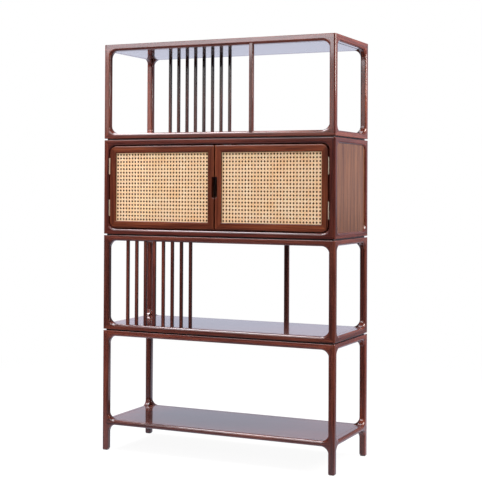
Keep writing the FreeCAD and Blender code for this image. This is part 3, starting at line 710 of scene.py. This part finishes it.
def door_depth(side, behind):
    """The depth of a point in the door at a side, in the lip or in the part behind it."""
    def depth(x, y, z):
        x = side * x
        outline = opening(x, z, DOOR_OUTER, DOOR_LOW, DOOR_HIGH, DOOR_CORNER)
        slot = opening(x, z, SLOT_HALF_WIDTH, SLOT_LOW, SLOT_HIGH, SLOT_CORNER)
        if behind:
            body = round_and([outline, DOOR_INNER - x, y - DOOR_BACK], SLOT_EASE)
            body = round_and([body, -slot], SLOT_EASE)
            return np.maximum.reduce([body, -rectangle(x, z, REBATE), CANE_FRONT - y])
        body = round_and([outline, DOOR_FRONT - y], DOOR_EASE)
        body = round_and([body, DOOR_INNER - x], MEETING_EASE)
        body = round_and([body, -slot], SLOT_EASE)
        from_hinge = np.min([np.abs(z - middle) for middle in HINGE_MIDDLES], axis=0)
        past_hinge = from_hinge - HINGE_HEIGHT / 2 - HINGE_ROOM
        barrel = np.maximum(np.hypot(x - PIN_X, y - PIN_Y) - BARREL_HOLLOW, past_hinge)
        body = np.maximum(body, -barrel)
        return np.maximum(round_and([body, -rectangle(x, z, 0.0)], WINDOW_EASE), y - CANE_FRONT)
    return depth


def door_member(side, upright, outer, flats):
    """One member of a door, as two shells. b counts in from its outer edge, and c from the front.

    In the meeting stile the rays start nearer the window, where they clear the finger slot.
    """
    spans = [(DOOR_INNER, DOOR_OUTER), (DOOR_LOW, DOOR_HIGH)]
    (low, high), (first, last) = spans if upright else spans[::-1]
    gap = 0.0 if upright else MITRE_GAP / 2

    def place(a, b, c):
        across = high - b if outer else low + b
        x, z = (across, a) if upright else (a, across)
        return side * x, DOOR_FRONT + c, z

    shells = []
    for behind in (False, True):
        width = STILE - (REBATE if behind else 0)
        near, far_side = (LIP, DOOR_BACK - DOOR_FRONT) if behind else (0.0, LIP)
        centre = (width * (0.68 if upright and not outer else 0.5), (near + far_side) / 2)
        shells.append(cast(
            door_depth(side, behind), place, centre,
            lambda b, c: first + b + gap, lambda b, c: last - b - gap,
            flats, (), (width / 2, (far_side - near) / 2), 64,
        ))
    return shells


# Stations stand close together where the finger slot's corners are and where a hinge begins
# and ends.
slot_steps = np.array([36, 38.5, 40.5, 42, 43.2, 44.1, 44.7, 44.97, 45.03, 45.3, 45.7, 46.2, 47.2])
slot_flats = np.concatenate([DOOR_MIDDLE - slot_steps[::-1], DOOR_MIDDLE + slot_steps])
hinge_ends = np.concatenate([HINGE_LOWS - HINGE_ROOM, HINGE_LOWS + HINGE_HEIGHT + HINGE_ROOM])
hinge_flats = np.sort(np.concatenate([hinge_ends - 0.05, hinge_ends + 0.05]))
FLAT_FROM = 40.0
rail_flats = [DOOR_INNER + FLAT_FROM, DOOR_OUTER - FLAT_FROM]
for side_name, side in (("left", -1), ("right", 1)):
    body = side_name + "_door"
    stiles = [
        door_member(side, True, outer, [DOOR_LOW + FLAT_FROM, *flats, DOOR_HIGH - FLAT_FROM])
        for outer, flats in ((True, hinge_flats), (False, slot_flats))
    ]
    rails = door_member(side, False, True, rail_flats) + door_member(side, False, False, rail_flats)
    parts = (("hinge_stile", stiles[0], "z"), ("meeting_stile", stiles[1], "z"), ("rails", rails, "x"))
    for part, shells, axis in parts:
        node = f"{body}_{part}"
        make_piece(node + "_wood", shells, door_wood[axis], body, [node])

# %% [markdown]
# ## Woven cane
#
# Cane webbing has pairs of strands up and across, and single strands on both diagonals. The
# diagonals cross in front of the uprights and behind the level pairs, or the other way round,
# which leaves eight-sided holes. A pattern on a flat sheet would look painted up close, so each
# strand is a real strip with sloping edges that weaves through the others.

# %% The cane's colour
CANE_TONES = [(0.0, (0.91, 0.60, 0.35)), (0.5, (0.97, 0.70, 0.445)), (1.0, (1.0, 0.82, 0.575))]


def cane_material():
    """Split cane: pale straw, with a tone of its own for each strand and fine lines along it.

    A strand's edge note is 0 on its two faces and 1 at its edges, which are painted darker and
    browner: painted shade on the strands' sides.
    """
    material, tree, shader = new_material("split_cane")
    cloudy = noise(tree, object_place(tree), 16.0, 3.0)
    fibres = noise(tree, object_place(tree), 900.0, 3.0)
    colour = ramp(tree, note(tree, "tone"), CANE_TONES)
    for share, factor, stops in (
        (0.7, cloudy, [(0.35, (1.0, 0.90, 0.76)), (0.62, WHITE)]),
        (0.6, fibres, [(0.35, (0.84, 0.80, 0.72)), (0.58, WHITE)]),
        (1.0, note(tree, "painted_edge_shade"), [(0.25, WHITE), (1.0, (0.62, 0.44, 0.25))]),
    ):
        colour = multiply(tree, share, colour, ramp(tree, factor, stops))
    feed(tree, shader, {
        "Base Color": colour,
        "Normal": relief(tree, fibres, 0.25, 0.0002),
        "Roughness": 0.42,
        "Specular IOR Level": 0.4,
    })
    return material


split_cane = cane_material()

# %% Weave the cane
MESHES = np.array([31, 19])
WINDOW_LOW, WINDOW_HIGH = np.array([WINDOW[0], WINDOW[2]]), np.array([WINDOW[1], WINDOW[3]])
PITCH = (WINDOW_HIGH - WINDOW_LOW) / MESHES
CANE_IN_REBATE = 5.6
SHEET_LOW, SHEET_HIGH = WINDOW_LOW - CANE_IN_REBATE, WINDOW_HIGH + CANE_IN_REBATE
CANE_MIDDLE = CANE_FRONT + 1.0
PAIR_APART = 1.65
STRAND_WIDTH, DIAGONAL_WIDTH = 2.95, 2.75
PAIR_LIFT, DIAGONAL_LIFT = 0.28, 0.62
STRAND_PROFILE = np.array([(-0.5, 0.12), (-0.24, -0.2), (0.24, -0.2), (0.5, 0.12), (0.0, 0.2)])
# Painted shade: 1 marks the points at a strand's edges, which are painted darker and browner.
STRAND_EDGE_SHADE = np.array([1.0, 0.0, 0.0, 1.0, 0.0])
cane_random = np.random.default_rng(7)


def strand(path, lift, across):
    """A strip along a path in the door's plane.

    path holds x and z, lift how far each point stands back, and across the strip's direction
    of width. The profile is flat in front, with sloping edges, and has a low ridge behind.
    """
    width = np.outer(STRAND_PROFILE[:, 0], across)
    x = path[:, None, 0] + width[None, :, 0]
    z = path[:, None, 1] + width[None, :, 1]
    y = CANE_MIDDLE + lift[:, None] + STRAND_PROFILE[None, :, 1]
    rings = np.stack([x, np.broadcast_to(y, x.shape), z], -1)
    ends = [(path[k, 0], CANE_MIDDLE + lift[k], path[k, 1]) for k in (0, -1)]
    return closed_tube(rings, ends)


def weave():
    """All the strands of a right-hand panel. Of two numbers, the first is for x, the next for z.

    Pairs of strands stand at whole pitches, and their lift swings as the cosine of half a turn
    per mesh, so that they pass over one pair of the other way and under the next. The
    diagonals run through the points half way between crossings, and their lift makes a full
    swing per mesh: forward over the uprights, back behind the level pairs.
    """
    found = []
    for way, sign in ((1, 1), (0, -1)):
        other = 1 - way
        run = WINDOW_LOW[way] + PITCH[way] * np.arange(0, MESHES[way] + 0.1, 0.25)
        run = np.concatenate([[SHEET_LOW[way]], run, [SHEET_HIGH[way]]])
        for line in range(MESHES[other] + 1):
            lift = sign * PAIR_LIFT * np.cos(np.pi * ((run - WINDOW_LOW[way]) / PITCH[way] + line))
            for apart in (-PAIR_APART, PAIR_APART):
                place = WINDOW_LOW + PITCH * line + apart
                path = np.tile(np.clip(place, SHEET_LOW + 1, SHEET_HIGH - 1), (len(run), 1))
                path[:, way] = run
                found.append(strand(path, lift, STRAND_WIDTH * np.eye(2)[other]))
    for slope in (1, -1):
        run = PITCH * (1, slope)
        across = np.array([-run[1], run[0]]) / np.hypot(*run) * DIAGONAL_WIDTH
        start_z = (WINDOW_LOW if slope > 0 else WINDOW_HIGH)[1]
        step = np.arange(-1, MESHES[1] + 1.01, 0.25)
        for k in range(-MESHES[1] - 1, MESHES[0] + 1):
            path = np.array([WINDOW_LOW[0] + PITCH[0] * (k + 0.5), start_z]) + np.outer(step, run)
            kept = ((path > SHEET_LOW + 1) & (path < SHEET_HIGH - 1)).all(axis=1)
            if kept.sum() > 1:
                lift = slope * DIAGONAL_LIFT * np.cos(2 * np.pi * step[kept])
                found.append(strand(path[kept], lift, across))
    return found


right_panel = weave()
tones = [np.full(len(points), cane_random.random()) for points, _, _ in right_panel]
painted_edge_shades = [
    np.append(np.tile(STRAND_EDGE_SHADE, (len(points) - 2) // len(STRAND_EDGE_SHADE)), [1.0, 1.0])
    for points, _, _ in right_panel
]
cane_notes = {"tone": np.concatenate(tones), "painted_edge_shade": np.concatenate(painted_edge_shades)}
for side_name, side in (("left", -1), ("right", 1)):
    shells = right_panel
    if side < 0:
        shells = [facing_out(points * (-1, 1, 1), quads, fans) for points, quads, fans in right_panel]
    make_piece(
        side_name + "_door_woven_cane", shells, split_cane, side_name + "_door",
        [side_name + "_door_cane_panel"], 50.0, cane_notes,
    )

# %% [markdown]
# ## Metal, plastic and felt
#
# The hinges are pale satin brass. Their screws have a cross cut into a low dome. Small
# catches of brown plastic hold the doors by a steel plate. Felt pads keep the legs off the
# floor. Each finish has a little variation of its own, so that none of them looks poured.

# %% Small finishes
def metal(name, colour, shade, rough):
    """Satin metal: noise moves the colour and the roughness a little, as handling does."""
    material, tree, shader = new_material(name)
    wear = noise(tree, object_place(tree), 140.0, 4.0)
    scratches = noise(tree, stretched(tree, "z", 3000, 260.0), 1.0, 2.0)
    feed(tree, shader, {
        "Base Color": ramp(tree, wear, [(0.3, shade), (0.7, colour)]),
        "Roughness": ranged(tree, scratches, 0.0, 1.0, rough - 0.07, rough + 0.07, "LINEAR"),
        "Metallic": 1.0,
    })
    return material


def dull(name, colour, shade, rough, grain):
    """A dull surface with a fine grain in its colour and its relief."""
    material, tree, shader = new_material(name)
    fine = noise(tree, object_place(tree), grain, 4.0)
    feed(tree, shader, {
        "Base Color": ramp(tree, fine, [(0.35, shade), (0.65, colour)]),
        "Normal": relief(tree, fine, 0.3, 0.0003),
        "Roughness": rough,
    })
    return material


brass = metal("satin_brass", (0.92, 0.84, 0.66), (0.82, 0.72, 0.52), 0.48)
steel = metal("plated_steel", (0.62, 0.62, 0.60), (0.48, 0.48, 0.47), 0.30)
catch_plastic = dull("brown_plastic", (0.085, 0.040, 0.025), (0.065, 0.030, 0.018), 0.45, 700.0)
felt = dull("dark_felt", (0.055, 0.045, 0.040), (0.025, 0.020, 0.018), 0.95, 1800.0)
# The spacers' wood is darkened to near black: painted shade in the gaps between tiers.
spacer_wood_painted_shade = wood("spacer_wood_painted_shade", "x", SPACER_PAINTED_SHADE_COLOURS, gloss=0.4)

# %% [markdown]
# ## Screws and catches
#
# A screw head lies in a hinge leaf, and its cross recess shows when the door stands open. The
# head is a disc of rings whose height is a low dome less the cross. A
# catch is a moulded housing under the cabinet's top, with the ends of two pole plates in its
# front face and a screw on either side of the magnet.

# %% Make the screws and the catches
SCREW_RADIUS, CATCH_SCREW_RADIUS = 2.9, 2.6
SCREW_DOME, CROSS_DEPTH, HEAD_DEPTH = 0.20, 0.75, 0.6
ARM_HALF_WIDTH, ARM_LENGTH = 0.17, 0.62
SCREW_RINGS = np.array([0.92, 1.0, 0.86, 0.62, 0.50, 0.38, 0.26, 0.14])
LEAF_FACE_FRAME, LEAF_FACE_DOOR = 521.5, 521.0
screw_random = np.random.default_rng(11)


def screw_head(centre, outward, across, radius=SCREW_RADIUS):
    """A low dome with a cross recess, its axis along outward.

    At the distance r from the axis the height is the dome's, dome x (1 - (r / R) squared),
    less the recess's depth inside the cross, whose arms taper off towards their ends. The
    widths and lengths in the cross are shares of R.
    """
    centre, outward, across = (np.asarray(given, float) for given in (centre, outward, across))
    other = np.cross(outward, across)
    turn = screw_random.random() * np.pi / 2
    reach = radius * SCREW_RINGS[:, None]
    angle = np.arange(24) * np.pi / 12
    p, q = reach * np.cos(angle), reach * np.sin(angle)
    narrow = np.minimum(np.abs(p), np.abs(q)) / radius
    cross = np.clip((ARM_HALF_WIDTH - narrow) / 0.05, 0, 1)
    cross = cross * np.clip((ARM_LENGTH - reach / radius) / 0.12, 0, 1)
    height = SCREW_DOME * (1 - (reach / radius) ** 2) - CROSS_DEPTH * cross
    height[0] = -HEAD_DEPTH
    height[1] = 0.0
    a = p * math.cos(turn) - q * math.sin(turn)
    b = p * math.sin(turn) + q * math.cos(turn)
    rings = centre + height[..., None] * outward + a[..., None] * across + b[..., None] * other
    ends = [centre - HEAD_DEPTH * outward, centre + (SCREW_DOME - CROSS_DEPTH) * outward]
    return closed_tube(rings, ends)


SCREW_ROWS = [(-26.0, 10.5), (0.0, 8.0), (26.0, 10.5)]
for side_name, side in (("left", -1), ("right", 1)):
    for on, face, outward, body in (
        ("frame", LEAF_FACE_FRAME, -side, "root"),
        ("door", LEAF_FACE_DOOR, side, side_name + "_door"),
    ):
        heads = [
            screw_head((side * face, PIN_Y + back, middle + rise), (outward, 0, 0), (0, 1, 0))
            for middle in HINGE_MIDDLES for rise, back in SCREW_ROWS
        ]
        make_piece(f"{side_name}_{on}_hinge_screws", heads, steel, body, sharp=30.0)

CATCH_X, CATCH_HALF_X = 45.0, 18.0
CATCH_FRONT, CATCH_BACK = -186.2, -170.2
CATCH_LOW, CATCH_HIGH = 1343.0, 1356.0
PLATE_APART, PLATE_BACK = 2.6, CATCH_BACK + 6.0
CATCH_SCREW_APART = 13.0


def lying_block(x, z, half_x, half_z, front, back, ease):
    """A block along Y with round corners, drawn in by a quarter circle at its two ends."""
    turn = np.linspace(0, np.pi / 2, 4)
    rise, run = ease * (1 - np.cos(turn)), ease * (1 - np.sin(turn))
    inset = np.concatenate([run, run[::-1]])
    level = np.concatenate([front + rise, back - rise[::-1]])
    rings = []
    for drawn_in, y in zip(inset, level):
        outline = rounded_outline(half_x - drawn_in, half_z - drawn_in, 1.6 * ease + 0.01, 4)
        rings.append(np.column_stack([x + outline[:, 0], np.full(len(outline), y), z + outline[:, 1]]))
    return closed_tube(np.stack(rings), [(x, front, z), (x, back, z)])


housings, plates, catch_screws = [], [], []
catch_middle, catch_half = (CATCH_LOW + CATCH_HIGH) / 2, (CATCH_HIGH - CATCH_LOW) / 2
screw_y = (CATCH_FRONT + CATCH_BACK) / 2
for side in (-1, 1):
    x = side * CATCH_X
    housings.append(lying_block(x, catch_middle, CATCH_HALF_X, catch_half, CATCH_FRONT, CATCH_BACK, 1.2))
    for rise in (-PLATE_APART, PLATE_APART):
        plates.append(lying_block(x, catch_middle + rise, 8.5, 0.75, CATCH_FRONT - 0.12, PLATE_BACK, 0.3))
    for apart in (-CATCH_SCREW_APART, CATCH_SCREW_APART):
        middle = (x + apart, screw_y, CATCH_LOW)
        catch_screws.append(screw_head(middle, (0, 0, -1), (1, 0, 0), CATCH_SCREW_RADIUS))
make_piece("catch_housings", housings, catch_plastic, "root", ["magnetic_catches"])
make_piece("catch_pole_plates", plates, steel, "root")
make_piece("catch_screws", catch_screws, steel, "root", sharp=30.0)

# %% Finish the CAD parts whose shape is already right
def dress(node, material):
    """Puts a material into all the slots of a CAD node."""
    slots = nodes[node].material_slots
    if not slots:
        nodes[node].data.materials.append(material)
    for held in slots:
        held.material = material


for material, dressed in (
    (board_wood, ("cabinet_side_panel_left", "cabinet_side_panel_right", "cabinet_back_panel")),
    (door_wood["z"], ("left_door_cane_beads", "right_door_cane_beads")),
    (spacer_wood_painted_shade, ("tier_spacers", "tier_pegs")),
    (brass, ("frame_hinge_leaves", "left_door_hinge_leaves", "right_door_hinge_leaves")),
    (steel, ("left_door_strike_plate", "right_door_strike_plate")),
    (felt, ("leg_pads",)),
):
    for node in dressed:
        dress(node, material)
print("CAD parts dressed")

# %% [markdown]
# ## Floor, light and background
#
# The photograph stands in a bright studio: a white ground, white behind, and darkness behind
# the camera. The lacquer mirrors all of it, so to mirrors the world shows a white horizon at
# the back and a dim one in front. For shading it stays at an even, plain level.

# %% The world
def shader_math(tree, operation, first, second):
    """A Math node of two sockets or numbers."""
    return shader_node(tree, "Math", {0: first, 1: second}, operation=operation).outputs[0]


def glowing(tree, kind, strength, tint=WHITE):
    """A Background or Emission shader."""
    return shader_node(tree, kind, {"Color": (*tint, 1.0), "Strength": strength}).outputs[0]


def grey_paint(tree, tone):
    """A matt shader of a grey tone."""
    return shader_node(tree, "BsdfDiffuse", {"Color": (tone, tone, tone, 1.0)}).outputs[0]


def choose(tree, factor, first, second):
    """The first shader where the factor is 0, the second where it is 1, and mixed between."""
    return shader_node(tree, "MixShader", {0: factor, 1: first, 2: second}).outputs[0]


MIRROR_TINT = (0.80, 0.83, 1.0)
AMBIENT_TINT = (1.0, 0.98, 0.97)
world = bpy.data.worlds.new("studio")
bpy.context.scene.world = world
world.use_nodes = True
tree = world.node_tree
tree.nodes.clear()
output = tree.nodes.new("ShaderNodeOutputWorld")
path = tree.nodes.new("ShaderNodeLightPath")
direction = tree.nodes.new("ShaderNodeTexCoord").outputs["Generated"]
split = shader_node(tree, "SeparateXYZ", {"Vector": direction})
behind = ranged(tree, split.outputs["Y"], 0.05, 0.7)
low_sky = ranged(tree, split.outputs["Z"], 0.0, 0.6, 1.0, 0.2)
left_side = ranged(tree, split.outputs["X"], -0.15, 0.25, 1.0, 0.42)
glow = shader_math(tree, "MULTIPLY", shader_math(tree, "MULTIPLY", behind, low_sky), left_side)
mirrored = glowing(tree, "Background", shader_math(tree, "ADD", glow, 0.05), MIRROR_TINT)
ambient = glowing(tree, "Background", 0.2, AMBIENT_TINT)
lit = choose(tree, path.outputs["Is Glossy Ray"], ambient, mirrored)
clear = shader_math(tree, "MAXIMUM", path.outputs["Is Camera Ray"], path.outputs["Is Transmission Ray"])
seen = choose(tree, clear, lit, glowing(tree, "Background", 1.0))
tree.links.new(seen, output.inputs["Surface"])

# %% [markdown]
# The white ground glows by itself, and is lit a little too, so that it takes the cabinet's
# shadow. Far off it is plain white. Mirrors see it bright under the cabinet and behind it, and
# dim in front and on the right. For shading it is a mid grey.

# %% The floor
FLOOR_REACH = 40.0
FLOOR_PAINT, FLOOR_GLOW, FLOOR_SHADE = 0.08, 0.94, 0.44
floor_mesh = bpy.data.meshes.new("floor")
corners = [(-1, -1), (1, -1), (1, 1), (-1, 1)]
corners = [(x * FLOOR_REACH, y * FLOOR_REACH, 0) for x, y in corners]
floor_mesh.from_pydata(corners, [], [(0, 1, 2, 3)])
floor = in_scene("floor", floor_mesh)
floor_material = bpy.data.materials.new("white_ground")
floor_material.use_nodes = True
tree = floor_material.node_tree
tree.nodes.clear()
output = tree.nodes.new("ShaderNodeOutputMaterial")
path = tree.nodes.new("ShaderNodeLightPath")
place = object_place(tree)
split = shader_node(tree, "SeparateXYZ", {"Vector": place})
paint, glow = grey_paint(tree, FLOOR_PAINT), glowing(tree, "Emission", FLOOR_GLOW)
near = shader_node(tree, "AddShader", {0: paint, 1: glow}).outputs[0]
from_middle = shader_node(tree, "VectorMath", {0: place}, operation="LENGTH").outputs["Value"]
fade = ranged(tree, from_middle, 1.0, 3.0)
ground = choose(tree, fade, near, glowing(tree, "Emission", 1.0))
left_side = ranged(tree, split.outputs["X"], 0.5, 1.3, 1.0, 0.2)
front_sheet = ranged(tree, split.outputs["Y"], -1.5, -0.2, 0.05, 0.85)
back_sheet = ranged(tree, split.outputs["Y"], 0.0, 1.2, 0.0, 0.31)
sheet = shader_math(tree, "ADD", front_sheet, back_sheet)
mirrored = glowing(tree, "Emission", shader_math(tree, "MULTIPLY", sheet, left_side), MIRROR_TINT)
lit = choose(tree, path.outputs["Is Glossy Ray"], grey_paint(tree, FLOOR_SHADE), mirrored)
shown = choose(tree, path.outputs["Is Camera Ray"], lit, ground)
tree.links.new(shown, output.inputs["Surface"])
floor_mesh.materials.append(floor_material)

# %% [markdown]
# Soft boxes hang overhead, in front and on the right. Their places were found from the bright
# lines on the rails and posts and from the sheen of the shelves.

# %% The lamps
def soft_box(name, place, aim, size, radiance, tint):
    """A flat rectangular lamp that faces a point. Its power is pi x area x radiance."""
    lamp = bpy.data.lights.new(name, "AREA")
    lamp.shape = "RECTANGLE"
    lamp.size, lamp.size_y = size
    lamp.energy = math.pi * size[0] * size[1] * radiance
    lamp.color = tint
    box = in_scene(name, lamp)
    away = Vector(place) - Vector(aim)
    box.matrix_world = Matrix.Translation(place) @ away.to_track_quat("Z", "Y").to_matrix().to_4x4()
    print(f"{name}: {lamp.energy:.0f} W")
    return box


soft_box("overhead_box", (-1.9, 0.6, 4.8), (-0.3, 0.0, 1.0), (3.2, 2.6), 6.0, (0.95, 0.93, 1.0))
soft_box("overhead_strip", (-1.35, -0.42, 3.4), (-0.3, -0.2, 1.0), (2.2, 1.15), 19.0, (0.97, 0.95, 1.0))
soft_box("high_front_box", (-0.3, -2.8, 4.2), (0.0, -0.2, 1.0), (2.4, 1.2), 4.0, (1.0, 0.98, 0.95))
soft_box("front_left_box", (-1.7, -4.0, 2.55), (0.0, -0.2, 1.2), (2.6, 1.95), 1.6, (1.0, 0.97, 0.96))
soft_box("upper_left_box", (-1.8, -3.9, 2.85), (0.0, -0.2, 1.7), (2.0, 1.3), 6.2, (0.95, 0.93, 1.0))
soft_box("right_box", (2.4, 0.05, 2.4), (0.5, 0.0, 1.0), (1.2, 1.6), 22.0, (1.0, 0.95, 0.90))

# %% [markdown]
# ## Finish
#
# The colours are shown as they are, without a film look.

# %% Finish
bpy.context.scene.view_settings.view_transform = "Standard"
